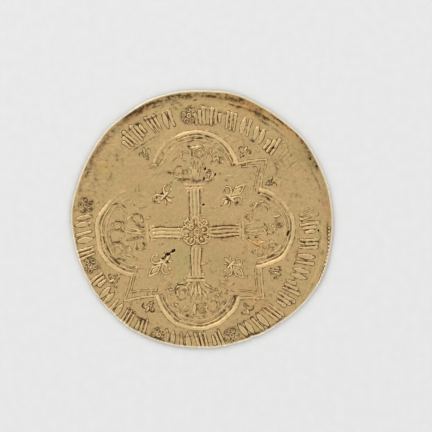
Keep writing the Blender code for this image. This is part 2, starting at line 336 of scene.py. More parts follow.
# %% Make an empty die
PITCH = 0.03
CELLS = 1080
DIE_HALF = (CELLS - 1) * PITCH / 2
# How far from a path the distance to its foot is kept, and how wide a ridge's flank is.
FAR = 0.4
FLANK = 0.13
LAYERS = ("foot", "grime", "hollow", "lost", "pit", "soil", "height")
grid = np.arange(CELLS) * PITCH - DIE_HALF
GRID_X, GRID_Y = np.meshgrid(grid, grid)


def even(t):
    """A shape gives a stroke's width at each share of the way along it."""
    return 1 + 0 * t


def tapered(t):
    return 1 - 0.65 * t


def leafy(t):
    return np.sin(math.pi * (0.07 + 0.86 * t))


class Die:
    """One side's design, as a grid for its heights and one for each other thing it leaves."""

    def __init__(self, place):
        self.place = place
        for layer in (*LAYERS, "ground"):
            setattr(self, layer, np.zeros((CELLS, CELLS)))
        self.foot += FAR

    def near(self, path, width, shape):
        """The cells round a path, and how far outside the path's sides each one is."""
        path = np.asarray(path, float).reshape(-1, 2) + self.place
        if len(path) == 1:
            path = np.repeat(path, 2, axis=0)
        reach = width / 2 + FAR
        first = np.clip(((path.min(0) - reach + DIE_HALF) / PITCH).astype(int), 0, CELLS)
        last = np.clip(((path.max(0) + reach + DIE_HALF) / PITCH).astype(int) + 2, 0, CELLS)
        spot = slice(first[1], last[1]), slice(first[0], last[0])
        x, y = GRID_X[spot], GRID_Y[spot]
        halves = shape(np.linspace(0, 1, len(path))) * width / 2
        away = np.full(x.shape, FAR)
        for a, b, start, end in zip(path[:-1], path[1:], halves[:-1], halves[1:]):
            along = b - a
            length = max(along @ along, 1e-12)
            t = np.clip(((x - a[0]) * along[0] + (y - a[1]) * along[1]) / length, 0, 1)
            gap = np.hypot(x - a[0] - t * along[0], y - a[1] - t * along[1])
            away = np.minimum(away, gap - start - t * (end - start))
        return spot, away

    def hold_dirt(self, spot, away, grime):
        """Where a path is the nearest, its feet hold as much dirt as its grime says."""
        nearer = away < self.foot[spot]
        self.foot[spot] = np.where(nearer, away, self.foot[spot])
        self.grime[spot] = np.where(nearer, grime, self.grime[spot])

    def cut(self, path, width, height, shape=even, grime=0.7):
        """A ridge along a path. The shape gives its width along it."""
        spot, away = self.near(path, width, shape)
        flank = min(FLANK, width / 2)
        rise = np.sin(np.clip(-away / flank, 0, 1) * math.pi / 2)
        self.height[spot] = np.maximum(self.height[spot], height * rise)
        self.hold_dirt(spot, away, grime)

    def scribe(self, path, grime):
        """A fine line that holds dirt but has no height."""
        self.hold_dirt(*self.near(path, 0.03, even), grime)

    def smear(self, path, width, strength, shape=leafy):
        """A soft streak of dirt."""
        spot, away = self.near(path, width, shape)
        dirt = strength * np.clip(0.5 - away / width, 0, 1)
        self.soil[spot] = np.maximum(self.soil[spot], dirt)


def arc(x, y, radius, first, turn, steps=12):
    """An arc round a centre: its radius, and its first angle and its turn in degrees."""
    angles = np.radians(first + turn * np.arange(steps + 1) / steps)
    return around(radius, angles) + (x, y)


def line(*points, steps=4):
    """A path through points, with some steps between each two."""
    points = np.asarray(points, float)
    parts = [np.linspace(a, b, steps, endpoint=False) for a, b in zip(points[:-1], points[1:])]
    return np.vstack(parts + [points[-1:]])


def placed(path, x=0.0, y=0.0, angle=0.0, size=1.0):
    """A path made larger, turned round the origin and moved."""
    c, s = math.cos(math.radians(angle)) * size, math.sin(math.radians(angle)) * size
    path = np.asarray(path, float).reshape(-1, 2)
    return path @ np.array(((c, s), (-s, c))) + (x, y)


def polar(radius, angle):
    return radius * math.cos(math.radians(angle)), radius * math.sin(math.radians(angle))


def stamp(where, path, width, height, shape=even, grime=0.7):
    """A ridge on the cross side along a path that is placed first."""
    cross.cut(placed(path, **where), width, height, shape, grime)


cross = Die(CROSS_PLACE)
print("The die is", CELLS, "cells wide, each", PITCH, "mm")

# %% [markdown]
# ## The border
#
# Four lobes and four corners frame the cross. The border is three ridges side by side: a broad one
# outside and two thin ones in it. Each lobe was cut by hand, so each has its own centre and radius.

# %% Cut the border
# Each lobe: its centre, its radius, and the angles at which it starts and ends.
LOBES = (
    (6.9, 0.35, 4.45, -88, 85), (-0.15, 6.5, 5.12, 16, 160), (-6.6, -0.1, 5.05, 110, 258),
    (0.15, -6.4, 4.93, 194, 343))
# Each corner's outer and inner line: the root of its upright leg, its point, and the root of its
# level leg.
CORNERS = (
    (((7.3, 4.7), (8.12, 8.45), (5.0, 7.97)), ((6.6, 4.74), (7.36, 7.7), (5.4, 7.58))),
    (((-7.2, 4.7), (-7.3, 8.0), (-4.7, 7.8)), ((-6.8, 4.7), (-6.9, 7.6), (-4.8, 7.4))),
    (((-7.4, -4.9), (-8.43, -7.95), (-4.6, -7.5)), ((-6.95, -4.2), (-7.8, -7.0), (-4.66, -6.95))),
    (((7.5, -3.9), (7.82, -7.76), (4.9, -7.89)), ((6.84, -4.0), (7.1, -7.15), (4.2, -6.85))))
# Each ridge of a lobe: how far inside the outer one it runs, its width, its height and its grime.
BORDER_RIDGES = (
    (0.0, 0.48, 0.06, 0.7), (0.02, 0.28, 0.11, 0.0), (0.5, 0.2, 0.08, 0.9), (0.98, 0.2, 0.055, 0.6))
# A corner's outer and inner ridge: width, height and grime.
CORNER_RIDGES = ((0.24, 0.065, 1.1), (0.18, 0.05, 1.3))


def cut_border():
    for inset, width, height, grime in BORDER_RIDGES:
        for x, y, radius, first, last in LOBES:
            path = arc(x, y, radius - inset, first, last - first, 40)
            cross.cut(path, width, height, even, grime)
    for corner in CORNERS:
        for points, (width, height, grime) in zip(corner, CORNER_RIDGES):
            cross.cut(line(*points), width, height, even, grime)


cut_border()
print("The border stands", round(cross.height.max(), 3), "mm high")

# %% [markdown]
# ## The cross
#
# Each arm is three ridges close together on a low base, with brown grooves between them, and two
# short bars across its end. The arms are cut once along +Y and turned to the four directions.

# %% Cut the arms
CROSS_CENTRE = (-0.13, -0.09)
CROSS_TURN = 1.0
ARM_START, ARM_END = 1.9, 4.95
ARM_MIDDLE, ARM_WIDTH = -0.02, 1.16
# Each ridge and each groove of an arm: how far to the side it runs, and a ridge's width.
ARM_RIDGES = ((0.42, 0.27), (-0.02, 0.36), (-0.46, 0.27))
ARM_GROOVES = (-0.64, -0.25, 0.21, 0.62)
# Bars across an arm's end: how far out, half the length, and the width.
ARM_BARS = ((5.2, 0.95, 0.22), (5.6, 1.05, 0.26))
# Knobs beside an arm: how far to each side, how far out, and the width.
ARM_KNOBS = ((0.80, ARM_END - 0.05, 0.34), (0.72, ARM_START + 0.1, 0.28))
# Each arm's direction and how dirty its grooves are.
ARM_DIRT = {0: 0.6, 90: 0.6, 180: 0.6, 270: 1.3}


def along_arm(side):
    return line((side, ARM_START), (side, ARM_END))


def cut_arms():
    for turn, dirt in ARM_DIRT.items():
        where = dict(x=CROSS_CENTRE[0], y=CROSS_CENTRE[1], angle=turn + CROSS_TURN)
        stamp(where, along_arm(ARM_MIDDLE), ARM_WIDTH, 0.045, even, 1.3)
        for side, width in ARM_RIDGES:
            stamp(where, along_arm(side), width, 0.095)
        for side in ARM_GROOVES:
            cross.smear(placed(along_arm(side), **where), 0.13, dirt, even)
        for out, half, width in ARM_BARS:
            stamp(where, line((-half, out), (half, out)), width, 0.08, even, 0.5)
        for side in (-1, 1):
            for aside, out, width in ARM_KNOBS:
                stamp(where, [(side * aside, out)], width, 0.09)


cut_arms()
print("The arms reach", ARM_END, "mm from the middle")

# %% [markdown]
# ## The rosette
#
# The arms meet in a rosette. Its petals were cut one by one by eye, so they crowd each other and
# the last ones had little room left. Each is a curl that opens to the middle, with a vein in it.

# %% Cut the rosette
# Petals: centre and radius.
ROSETTE_PETALS = (
    (-0.12, 1.12, 0.44), (0.95, 0.28, 0.42), (0.58, -0.92, 0.44), (-0.72, -1.02, 0.44),
    (-1.32, 0.05, 0.46), (-1.12, 0.92, 0.28), (1.02, 1.12, 0.26), (1.28, -0.62, 0.26),
    (-1.32, -0.82, 0.22), (0.42, 0.72, 0.24), (-0.62, 0.48, 0.24), (-0.08, -0.62, 0.22))


def cut_rosette():
    for x, y, radius in ROSETTE_PETALS:
        outward = math.degrees(math.atan2(y, x))
        cross.cut(arc(x, y, radius, outward - 130, 260, 14), 0.20, 0.10, even, 1.2)
        vein = line((0.62 * x, 0.62 * y), (1.12 * x, 1.12 * y), steps=5)
        cross.cut(vein, 0.7 * radius, 0.09, leafy, 1.1)
    cross.cut(arc(-0.03, 0.0, 0.30, 0, 360, 12), 0.18, 0.12, even, 1.0)
    for turn in (45, 135, 225, 315):
        cross.cut(arc(0, 0, 1.66, turn - 16, 32, 6), 0.18, 0.08, leafy, 0.9)


cut_rosette()
print(len(ROSETTE_PETALS), "petals are cut")

# %% [markdown]
# ## The leafy ends
#
# Beyond each bar the arm opens into curled leaves, a ring flower and buds. The photograph shows
# them worn and each a bit different, so each end is its own short list of strokes: curls, rings,
# leaves, stems and dots, at the places where they are seen.

# %% Cut the leafy ends
# Curls: centre, radius, start angle, turn and width.
CURLS = (
    (-1.78, -7.1, 0.8, 40, 270, 0.24), (-1.78, -7.1, 0.42, 220, -230, 0.2),
    (2.28, -7.39, 0.24, 0, 360, 0.18), (2.32, -7.35, 0.62, -150, 300, 0.18),
    (0.64, -9.08, 0.45, 0, 360, 0.2), (0.64, -9.08, 0.8, -60, 200, 0.16),
    (-1.2, -9.13, 0.28, 0, 360, 0.16), (1.8, -8.7, 0.95, -80, 110, 0.16),
    (1.8, -8.7, 0.62, -90, 120, 0.14), (-1.95, 7.0, 0.66, -60, -230, 0.2),
    (-1.3, 6.95, 0.3, 200, -240, 0.16), (0.25, 9.05, 0.42, 0, 330, 0.18),
    (0.25, 9.05, 0.8, -40, 230, 0.16), (-0.1, 10.05, 0.85, 20, 150, 0.18),
    (1.4, 6.6, 0.52, 0, 360, 0.22), (2.55, 8.3, 0.52, -60, 250, 0.16),
    (-1.2, 8.8, 0.52, 60, 210, 0.16), (-9.3, 0.6, 0.74, -50, 230, 0.24),
    (-9.36, 0.43, 0.3, 0, 330, 0.22), (-9.1, 2.0, 0.8, 20, 150, 0.2),
    (-6.95, 1.55, 0.55, 10, 240, 0.2), (-6.68, -1.7, 0.48, 150, 260, 0.2),
    (-9.15, -2.1, 0.5, 0, 360, 0.16), (-9.15, -2.1, 0.85, -60, 200, 0.16),
    (-9.6, -0.9, 0.55, 170, 160, 0.16), (7.9, 2.6, 0.85, 30, 150, 0.18),
    (7.9, 2.5, 0.4, 200, -260, 0.16), (7.4, -2.3, 0.52, 120, 300, 0.2),
    (9.0, -1.7, 0.55, 100, 250, 0.16), (9.0, -1.7, 0.9, 200, 160, 0.14),
    (8.85, 0.6, 0.6, 150, 270, 0.2), (9.6, 0.7, 0.34, 0, 330, 0.16),
    (6.1, 1.9, 0.4, 100, 240, 0.18))
# Leaves: both ends and the width.
LEAVES = (
    (-0.35, -5.95, -0.6, -7.7, 0.34), (0.25, -5.95, 0.55, -7.6, 0.34),
    (-0.02, -5.95, 0.0, -7.9, 0.3), (-0.8, -5.9, -1.3, -6.5, 0.26), (-1.05, -6.4, -1.15, -7.6, 0.2),
    (0.6, -6.7, 1.3, -7.9, 0.24), (0.75, -5.9, 1.7, -6.6, 0.26), (-0.25, -8.3, -0.3, -9.7, 0.34),
    (1.6, -6.2, 2.4, -6.55, 0.2), (-2.6, -8.2, -1.9, -9.0, 0.22), (-2.4, -9.3, -1.5, -9.95, 0.2),
    (-2.3, -6.1, -1.3, -5.95, 0.2), (-0.27, 5.95, -0.69, 8.15, 0.22),
    (-0.2, 5.95, -0.35, 8.3, 0.24), (-0.12, 5.95, 0.08, 8.15, 0.24), (0.0, 5.95, 0.45, 7.6, 0.22),
    (-2.2, 6.02, -0.8, 6.1, 0.2), (-2.6, 6.55, -1.6, 6.35, 0.18), (0.6, 6.0, 2.1, 6.1, 0.2),
    (-1.55, 7.4, -1.4, 6.7, 0.16), (-0.7, 9.7, 0.6, 9.9, 0.3), (1.3, 9.6, 1.75, 8.6, 0.2),
    (2.2, 9.3, 2.6, 7.9, 0.2), (-2.6, 9.2, -1.6, 8.6, 0.18), (-6.1, 0.65, -7.2, 0.8, 0.22),
    (-6.05, 0.2, -8.0, 0.3, 0.26), (-6.05, -0.15, -8.1, -0.25, 0.26),
    (-6.2, -0.53, -8.1, -1.1, 0.26), (-6.2, 1.1, -6.5, 1.9, 0.22), (-8.2, 1.3, -7.4, 1.95, 0.22),
    (-8.4, -2.7, -7.3, -3.0, 0.22), (-9.8, -3.1, -8.3, -3.35, 0.2), (-7.8, -1.6, -7.6, -2.6, 0.26),
    (-9.9, 3.1, -8.9, 3.3, 0.16), (-8.9, 3.3, -8.2, 2.7, 0.16), (5.7, 0.35, 7.5, 0.45, 0.22),
    (5.7, 0.05, 7.6, 0.1, 0.24), (5.7, -0.25, 7.5, -0.3, 0.22), (5.9, 0.8, 7.3, 1.3, 0.24),
    (5.9, -0.85, 7.3, -1.6, 0.28), (7.6, 0.6, 8.3, -0.4, 0.26), (7.0, -1.3, 8.2, -1.1, 0.26),
    (8.2, -2.35, 8.65, -3.0, 0.18), (8.65, -3.0, 9.8, -2.3, 0.18), (6.5, 2.4, 7.2, 3.5, 0.22),
    (9.0, 1.5, 9.9, 1.9, 0.2))
# Buds: centre and width. Each has a dirty ring round it.
BUDS = (
    (1.62, -7.28, 0.22), (1.82, -7.86, 0.22), (2.3, -8.06, 0.22), (2.8, -7.85, 0.22),
    (2.98, -7.35, 0.22), (2.78, -6.85, 0.22), (2.28, -6.68, 0.22), (1.8, -6.85, 0.22),
    (0.62, -9.08, 0.26), (-0.2, -8.57, 0.22), (0.1, -10.1, 0.24), (-1.16, -9.85, 0.2),
    (1.4, 6.6, 0.3), (-0.8, 9.8, 0.26), (0.25, 9.05, 0.26), (-9.36, 0.43, 0.3), (-8.9, -0.95, 0.24),
    (-10.2, -0.63, 0.22), (-6.45, 1.25, 0.24), (-7.1, -1.75, 0.24), (8.85, 0.55, 0.3),
    (7.95, 0.75, 0.24), (8.65, -1.0, 0.26), (6.7, -2.5, 0.26), (6.95, -0.6, 0.24),
    (9.7, 0.75, 0.22))
# Dashes of dirt in the deepest cuts: both ends.
DASHES = (
    (0.86, 7.1, 1.1, 7.45), (2.18, 6.5, 2.28, 6.72), (0.76, 6.0, 0.88, 6.45),
    (1.3, 7.15, 1.75, 6.95), (1.45, 6.02, 2.05, 6.12), (-0.95, 9.95, -0.8, 9.8),
    (-0.8, 10.2, -0.4, 10.8), (-0.4, 10.8, 0.55, 10.85), (-0.1, 11.3, 0.5, 11.3),
    (0.8, 11.2, 1.7, 10.9), (1.2, 10.5, 1.5, 10.2), (2.4, 9.75, 2.8, 9.4),
    (-3.36, 9.75, -3.1, 10.0), (-4.09, 9.12, -3.95, 9.4), (-2.5, 10.9, -2.2, 10.7),
    (-1.85, 10.75, -1.5, 10.55), (3.98, 8.36, 4.25, 7.6), (4.3, 7.6, 4.7, 7.95),
    (2.5, 8.15, 2.9, 7.9), (-2.2, 6.05, -0.8, 6.05), (-0.75, 6.1, -0.2, 5.85),
    (-0.2, 5.85, 0.5, 6.1), (-4.4, 6.87, -1.6, 6.87), (-1.55, 7.4, -1.5, 6.8),
    (8.05, 4.1, 8.6, 3.7), (7.05, 4.5, 7.2, 4.4), (6.3, 2.2, 5.6, 1.7), (7.75, 1.05, 8.28, 0.3),
    (6.05, -0.8, 6.3, -0.78), (6.75, -0.68, 7.05, -0.62), (6.3, -2.2, 6.6, -2.8),
    (8.2, -2.4, 8.6, -2.95), (8.6, -2.95, 9.2, -2.6), (8.0, -3.35, 9.6, -2.5),
    (9.6, 0.6, 9.75, 0.8), (8.6, -1.05, 8.7, -0.9), (-9.9, 3.1, -8.9, 3.3), (-8.9, 3.1, -8.2, 2.7),
    (-9.65, 1.3, -8.6, 1.1), (-8.6, 1.1, -8.35, 0.1), (-9.0, 0.3, -8.4, -0.2),
    (-7.3, 2.0, -6.6, 2.05), (-6.6, 2.05, -6.25, 1.5), (-7.2, 0.8, -6.1, 0.6),
    (-8.1, -1.05, -6.2, -0.5), (-7.1, -1.9, -6.9, -2.2), (-6.25, -1.2, -6.2, -1.6),
    (-10.2, -0.6, -9.95, -1.3), (-9.95, -1.35, -9.0, -1.2), (-11.1, -0.6, -9.9, -3.0),
    (-9.8, -3.0, -9.0, -3.95), (-7.5, -4.1, -7.0, -4.7), (-9.8, -3.1, -8.5, -3.3),
    (-0.9, -5.5, 0.7, -5.45), (-2.45, -6.45, -2.5, -7.3), (-2.25, -6.2, -1.5, -6.3),
    (-4.0, -7.7, -3.3, -9.0), (-3.3, -9.0, -2.0, -10.2), (2.6, -9.9, 3.5, -9.2),
    (3.5, -9.2, 4.3, -8.2), (4.3, -8.2, 4.45, -7.4), (4.3, -7.5, 4.9, -7.6),
    (0.2, -10.75, 0.8, -10.65), (-1.3, -9.85, -1.0, -9.95), (3.3, 4.95, 3.1, 4.6),
    (4.55, 3.2, 4.9, 3.5), (8.6, 9.75, 9.1, 9.75), (9.8, 10.15, 10.15, 10.2),
    (6.0, 10.8, 6.8, 10.3), (8.6, 8.6, 9.76, 6.6), (9.6, 8.4, 10.4, 7.6), (11.85, -2.2, 11.4, -3.8),
    (-4.75, 3.85, -4.6, 4.05), (-4.2, 4.3, -3.95, 4.5), (-3.6, 5.3, -3.3, 5.6),
    (-5.2, 3.3, -4.8, 3.6))


def cut_leafy_ends():
    for x, y, radius, first, turn, width in CURLS:
        cross.cut(arc(x, y, radius, first, turn, 14), width, 0.09, tapered, 0.9)
    for x, y, to_x, to_y, width in LEAVES:
        cross.cut(line((x, y), (to_x, to_y), steps=6), width, 0.09, leafy, 0.9)
    for x, y, width in BUDS:
        cross.cut([(x, y)], width, 0.08, even, 1.0)
    for x, y, to_x, to_y in DASHES:
        cross.smear(line((x, y), (to_x, to_y)), 0.15, 1.0)


cut_leafy_ends()
print(len(CURLS), "curls,", len(LEAVES), "leaves and", len(BUDS), "buds are cut")

# %% [markdown]
# ## The lilies
#
# A lily stands in each quarter of the cross, and small ones stand outside the border. A lily is a
# pointed middle petal, two petals that droop to the sides, a tie across them and three short tails.
# It is drawn once along +Y round its tie and then turned and placed. One lily has lost its petal.

# %% Cut the lilies
# Each lily: the place of its tie, its direction, its size, and if its middle petal is left.
LILIES = (
    (3.92, 3.95, 45, 1.0, True), (4.05, -3.85, 315, 0.98, True), (-3.95, -3.6, 225, 1.04, True),
    (-3.75, 4.15, 135, 1.02, False))
# Each small lily: its place and its direction.
SMALL_LILIES = (
    (-5.95, 9.1, 118), (5.5, 9.2, 62), (8.6, 5.75, 30), (9.1, -4.7, -28), (5.8, -9.0, -62),
    (-5.5, -8.7, 240), (-9.5, -5.55, 208))
SMALL_SIZE = 1.3
LILY_PETAL = ((0.0, 0.42), (0.3, 0.95), (0.44, 1.3), (0.2, 1.85), (0.0, 2.2), (-0.2, 1.85),
              (-0.44, 1.3), (-0.3, 0.95), (0.0, 0.42))


def cut_lily(x, y, angle, size, whole):
    where = dict(x=x, y=y, angle=angle - 90, size=size)
    if whole:
        stamp(where, line(*LILY_PETAL, steps=2), 0.20 * size, 0.11, even, 0.9)
        stamp(where, line((0, 0.75), (0, 1.75)), 0.50 * size, 0.06, leafy, 0.8)
    stamp(where, line((-0.55, 0.0), (0.55, 0.0)), 0.26 * size, 0.12, even, 1.0)
    for side in (-1, 1):
        rise = line((side * 0.18, 0.16), (side * 0.42, 0.62))
        droop = arc(side * 0.86, 0.36, 0.46, 90 + side * 60, -side * 215, 12)
        stamp(where, np.vstack((rise, droop)), 0.30 * size, 0.12, tapered, 1.0)
        stamp(where, [(side * 1.02, -0.02)], 0.30 * size, 0.09, even, 1.0)
        tail = line((side * 0.22, -0.22), (side * 0.62, -0.88))
        stamp(where, tail, 0.24 * size, 0.085, leafy, 1.0)
    stamp(where, line((0, -0.2), (0, -1.15)), 0.34 * size, 0.11, leafy, 1.0)


def cut_small_lily(x, y, angle):
    where = dict(x=x, y=y, angle=angle - 90, size=SMALL_SIZE)
    stamp(where, line((0, 0.04), (0, 0.66), steps=6), 0.30, 0.09, leafy, 1.7)
    for side in (-1, 1):
        rise = line((side * 0.10, 0.02), (side * 0.24, 0.30))
        droop = arc(side * 0.40, 0.22, 0.18, 90 + side * 70, -side * 200, 8)
        stamp(where, np.vstack((rise, droop)), 0.17, 0.085, tapered, 1.7)
        start = 150 if side > 0 else 30
        stamp(where, arc(side * 0.34, -0.16, 0.26, start, side * 80, 6), 0.15, 0.075, leafy, 1.7)
    stamp(where, line((-0.24, -0.06), (0.24, -0.06)), 0.14, 0.09, even, 1.7)
    stamp(where, line((0, -0.14), (0, -0.56)), 0.18, 0.08, leafy, 1.7)


for lily in LILIES:
    cut_lily(*lily)
for lily in SMALL_LILIES:
    cut_small_lily(*lily)
print(len(LILIES) + len(SMALL_LILIES), "lilies are cut")

# %% [markdown]
# ## The ring of strokes
#
# A ring of short strokes runs round the border, with round stops between its groups. A group is a
# few parallel bars or leaf shapes, and all of them lean the same way, as the strokes of one hand
# do. Some groups are worn nearly flat, and dirt is left at the feet of others.

# %% Cut the ring of strokes
RING_RADIUS = 12.21
RING_HEIGHT = 1.95
RING_LIFT = 0.35
RING_CELLS = 45
STROKE = 0.37
LEAN = 10
# The cells that hold a stop, and the angle of each stop.
STOPS = {12: 94, 21: 168, 25: 199, 31: 250.5, 36: 288}
WORN_CELLS = (2, 3, 4, 5, 17, 18, 19, 20)
DARK_CELLS = (13, 14, 15, 16, 26, 27, 28, 29, 30, 32, 33, 34, 35, 37, 38)


def flared(t):
    """Wider at one end, as a wedge-shaped punch leaves a stroke."""
    return 0.78 + 0.5 * t ** 2


def bar(x, low, high, width=1.0, shape=flared):
    """A stroke from low to high that would stand at x on the foot line."""
    drift = math.tan(math.radians(LEAN))
    return line((x - low * drift, low), (x - high * drift, high), steps=8), width, shape


# Groups one unit high: each stroke is a path, its width and its shape.
GROUPS = (
    (bar(-0.20, 0, 1), bar(0.05, 0.14, 0.86), bar(0.29, 0.28, 0.72)),
    (bar(-0.14, 0, 1, 1.6, leafy), bar(0.25, 0, 1, 1.6, leafy)),
    (bar(-0.18, 0, 1, 0.85), bar(0.06, 0, 1, 0.85), bar(0.30, 0, 1, 0.85)),
    (bar(-0.20, 0, 0.50, 1.1), bar(0.05, 0, 0.75), bar(0.30, 0, 1)),
    (bar(-0.12, 0, 1, 1.8, leafy), bar(0.28, 0.06, 0.94)))


def cut_group(cell, angle):
    height = 0.03 if cell in WORN_CELLS else 0.075
    grime = (30 if cell in DARK_CELLS else 19) * height
    x, y = polar(RING_RADIUS, angle)
    for path, width, shape in GROUPS[cell * 3 % len(GROUPS)]:
        path = placed(path, x, y + RING_LIFT, angle - 90, RING_HEIGHT)
        cross.cut(path, width * STROKE, height, shape, grime)
        cross.scribe(path[2:-2], 5 * height)


def cut_stop(x, y, angle):
    """A round flower: five hollow knobs about a ring."""
    cross.cut(arc(x, y, 0.22, 0, 360, 10), 0.16, 0.10, even, 1.0)
    for turn in range(5):
        petal = np.add(polar(0.62, angle + 72 * turn), (x, y))
        cross.cut(arc(*petal, 0.22, 0, 360, 8), 0.15, 0.10, even, 1.5)
    cross.smear(arc(x, y, 0.93, 0, 360, 16), 0.22, 0.6, even)


def cut_ring():
    for cell in range(RING_CELLS):
        angle = 360 * cell / RING_CELLS
        if cell in STOPS:
            x, y = polar(RING_RADIUS + RING_HEIGHT / 2, STOPS[cell])
            cut_stop(x, y + RING_LIFT, angle)
        else:
            cut_group(cell, angle)


cut_ring()
print(RING_CELLS - len(STOPS), "groups of strokes and", len(STOPS), "stops are cut")

# %% [markdown]
# ## Faint strokes and dust
#
# The metal between the figures isn't clean. Figures that are nearly gone and slips of the tool
# leave faint strokes, and dust sits where the ring is worn away. Both are scattered by chance, with
# few in the quarters of the cross and no faint strokes where the ring's own strokes are.

# %% Scatter faint strokes and dust
WISPS = 960
WISP_REACH = 15.6
# A quarter's field, as distances from the middle lines, and the radii of the ring's row.
CALM_FROM, CALM_TO = 1.2, 5.4
ROW_FROM, ROW_TO = 11.9, 14.4
# Dusty parts of the ring: first and last angle, inner and outer radius, how many smears, how dark.
DUSTY = (
    (134, 178, 11.4, 15.0, 90, 0.9), (14, 46, 10.5, 15.2, 70, 0.7), (84, 104, 14.4, 16.2, 30, 1.2),
    (104, 134, 14.6, 16.0, 30, 0.9), (-40, 14, 11.0, 15.2, 70, 0.6),
    (190, 300, 10.8, 14.4, 90, 0.6))


def scatter_wisps():
    """Short faint strokes: along the ring outside, and at any angle inside."""
    chance = np.random.default_rng(5)
    for reach, turn, lean, length, bend, height, luck in chance.random((WISPS, 7)):
        radius = WISP_REACH * math.sqrt(reach)
        x, y = polar(radius, 360 * turn)
        calm = CALM_FROM < abs(x) < CALM_TO and CALM_FROM < abs(y) < CALM_TO
        row = ROW_FROM < radius < ROW_TO and int(RING_CELLS * turn + 0.5) not in WORN_CELLS
        if row or calm and luck < 0.75:
            continue
        freedom = 90 if radius > 11.4 else 360
        heading = 360 * turn + 90 + freedom * (lean - 0.5)
        size = 0.25 + 0.75 * length
        curve = arc(0, 0, size, -25, 20 + 60 * bend, 5) - (size, 0)
        rich = any(math.hypot(x - lobe[0], y - lobe[1]) < lobe[2] - 1.2 for lobe in LOBES)
        boost = 1.7 if rich and not calm and radius > 5.6 else 1.0
        cross.cut(placed(curve, x, y, heading - 90), 0.12 + 0.12 * bend,
                  boost * (0.015 + 0.035 * height), leafy, boost * (0.3 + 0.6 * luck * height))


def scatter_dust():
    """Short smears of dirt, most of them where the ring is worn away and in the margin."""
    chance = np.random.default_rng(9)
    for first, last, inner, outer, count, most in DUSTY:
        for turn, reach, lean, length, strength in chance.random((count, 5)):
            angle = first + (last - first) * turn
            x, y = polar(inner + (outer - inner) * reach, angle)
            ahead = np.array(polar(0.10 + 0.25 * length, angle + 90 + 120 * (lean - 0.5)))
            cross.smear(line((x, y) - ahead, (x, y) + ahead), 0.18, most * strength)


scatter_wisps()
scatter_dust()
print(WISPS, "faint strokes are scattered, less those that fell on the ring's own row")

# %% [markdown]
# ## The margin
#
# Outside the ring the coin shows how it was made. The cutter scribed thin circles to set out the
# rows, some beads of the outermost row are left on the right, and clipping the edge left a lip at
# the lower right. Dirt follows all of these in long thin streaks.

# %% Cut the margin
# Guide ridges: radius, start angle, turn, width and height.
GUIDES = (
    (14.75, 322, 52, 0.34, 0.045), (14.55, 62, 60, 0.2, 0.03), (11.75, 96, 30, 0.16, 0.025),
    (15.6, 50, 50, 0.24, 0.03), (15.95, 84, 40, 0.2, 0.03))
# Streaks of dirt in scribed circles and in the margin: radius, start angle, turn, width, strength.
STREAKS = (
    (14.28, 107, 22, 0.14, 1.3), (14.26, 70, 26, 0.14, 0.6), (12.06, 110, 22, 0.14, 0.9),
    (12.56, 76, 16, 0.14, 0.4), (12.08, 226, 18, 0.14, 1.4), (12.02, 290, 24, 0.14, 1.0),
    (12.03, 341, 9, 0.14, 1.0), (11.98, 52, 22, 0.14, 0.5), (14.4, 300, 18, 0.14, 0.9),
    (12.0, 196, 14, 0.14, 0.8), (12.3, 250, 22, 0.14, 0.8), (15.95, 60, 50, 0.3, 0.9),
    (15.42, 58, 18, 0.2, 1.5), (15.8, 90, 36, 0.42, 0.9), (15.75, 112, 11, 0.4, 1.6),
    (15.9, 74, 18, 0.34, 0.9), (15.4, 100, 26, 0.18, 0.8), (16.15, 66, 14, 0.22, 1.2),
    (15.1, 44, 24, 0.16, 0.7), (16.3, 84, 24, 0.16, 0.5), (15.62, 52, 16, 0.18, 1.0),
    (15.98, 88, 22, 0.5, 0.9), (13.9, 204, 20, 0.2, 0.9), (14.1, 222, 22, 0.18, 0.9),
    (15.3, -6, 12, 0.2, 0.9), (15.15, 10, 22, 0.18, 0.7))
# Streaks that follow the clipped edge: first and last angle, inset, width and strength.
EDGE_STREAKS = (
    (116, 168, 0.62, 0.6, 0.7), (22, 40, 0.55, 0.6, 0.85), (34, 62, 0.36, 0.2, 1.4),
    (60, 116, 0.34, 0.18, 0.9), (2, 20, 0.5, 0.5, 0.4), (170, 210, 0.36, 0.2, 0.6),
    (236, 262, 0.4, 0.22, 0.8), (284, 312, 0.34, 0.26, 0.9), (108, 126, 0.55, 0.34, 1.3))
# The lip that the clipping left at the lower right.
LIP = ((3.2, -13.5), (6.4, -12.56), (9.45, -10.9))
BEAD_RADIUS = 15.52
BEAD_SPACING = 0.43
BEAD_START, BEAD_TURN = -24, 26


def cut_beads():
    step = math.degrees(BEAD_SPACING / BEAD_RADIUS)
    count = int(BEAD_TURN / step) + 1
    for number in range(count):
        cross.cut([polar(BEAD_RADIUS, BEAD_START + number * step)], 0.32, 0.12, even, 1.3)
    return count


def along_edge(first, last, inset):
    """A path beside the clipped edge, in the die's frame."""
    angles = np.radians(np.linspace(first, last, 30))
    return around(edge_radius(angles) - inset, angles) + FLAN_CENTRE - CROSS_PLACE


def cut_margin():
    cross.cut(line(*LIP), 0.24, 0.07, leafy, 0.4)
    for radius, first, turn, width, height in GUIDES:
        cross.cut(arc(0, 0, radius, first, turn, 30), width, height, leafy, 0.3)
    for radius, first, turn, width, strength in STREAKS:
        cross.smear(arc(0, 0, radius, first, turn, 20), width, strength)
    for first, last, inset, width, strength in EDGE_STREAKS:
        cross.smear(along_edge(first, last, inset), width, strength)


cut_margin()
print(cut_beads(), "beads are left along the right edge")

# %% [markdown]
# ## Wear
#
# Gold is soft. Where the coin was struck weakly or rubbed, the figures sink into the field. Each
# worn patch is a soft round mask that lowers the relief, and the whole die is blurred a little, as
# metal doesn't fill the finest cuts. Then the field gets slow waves and fine grain, and small pits
# mark the dark spots.

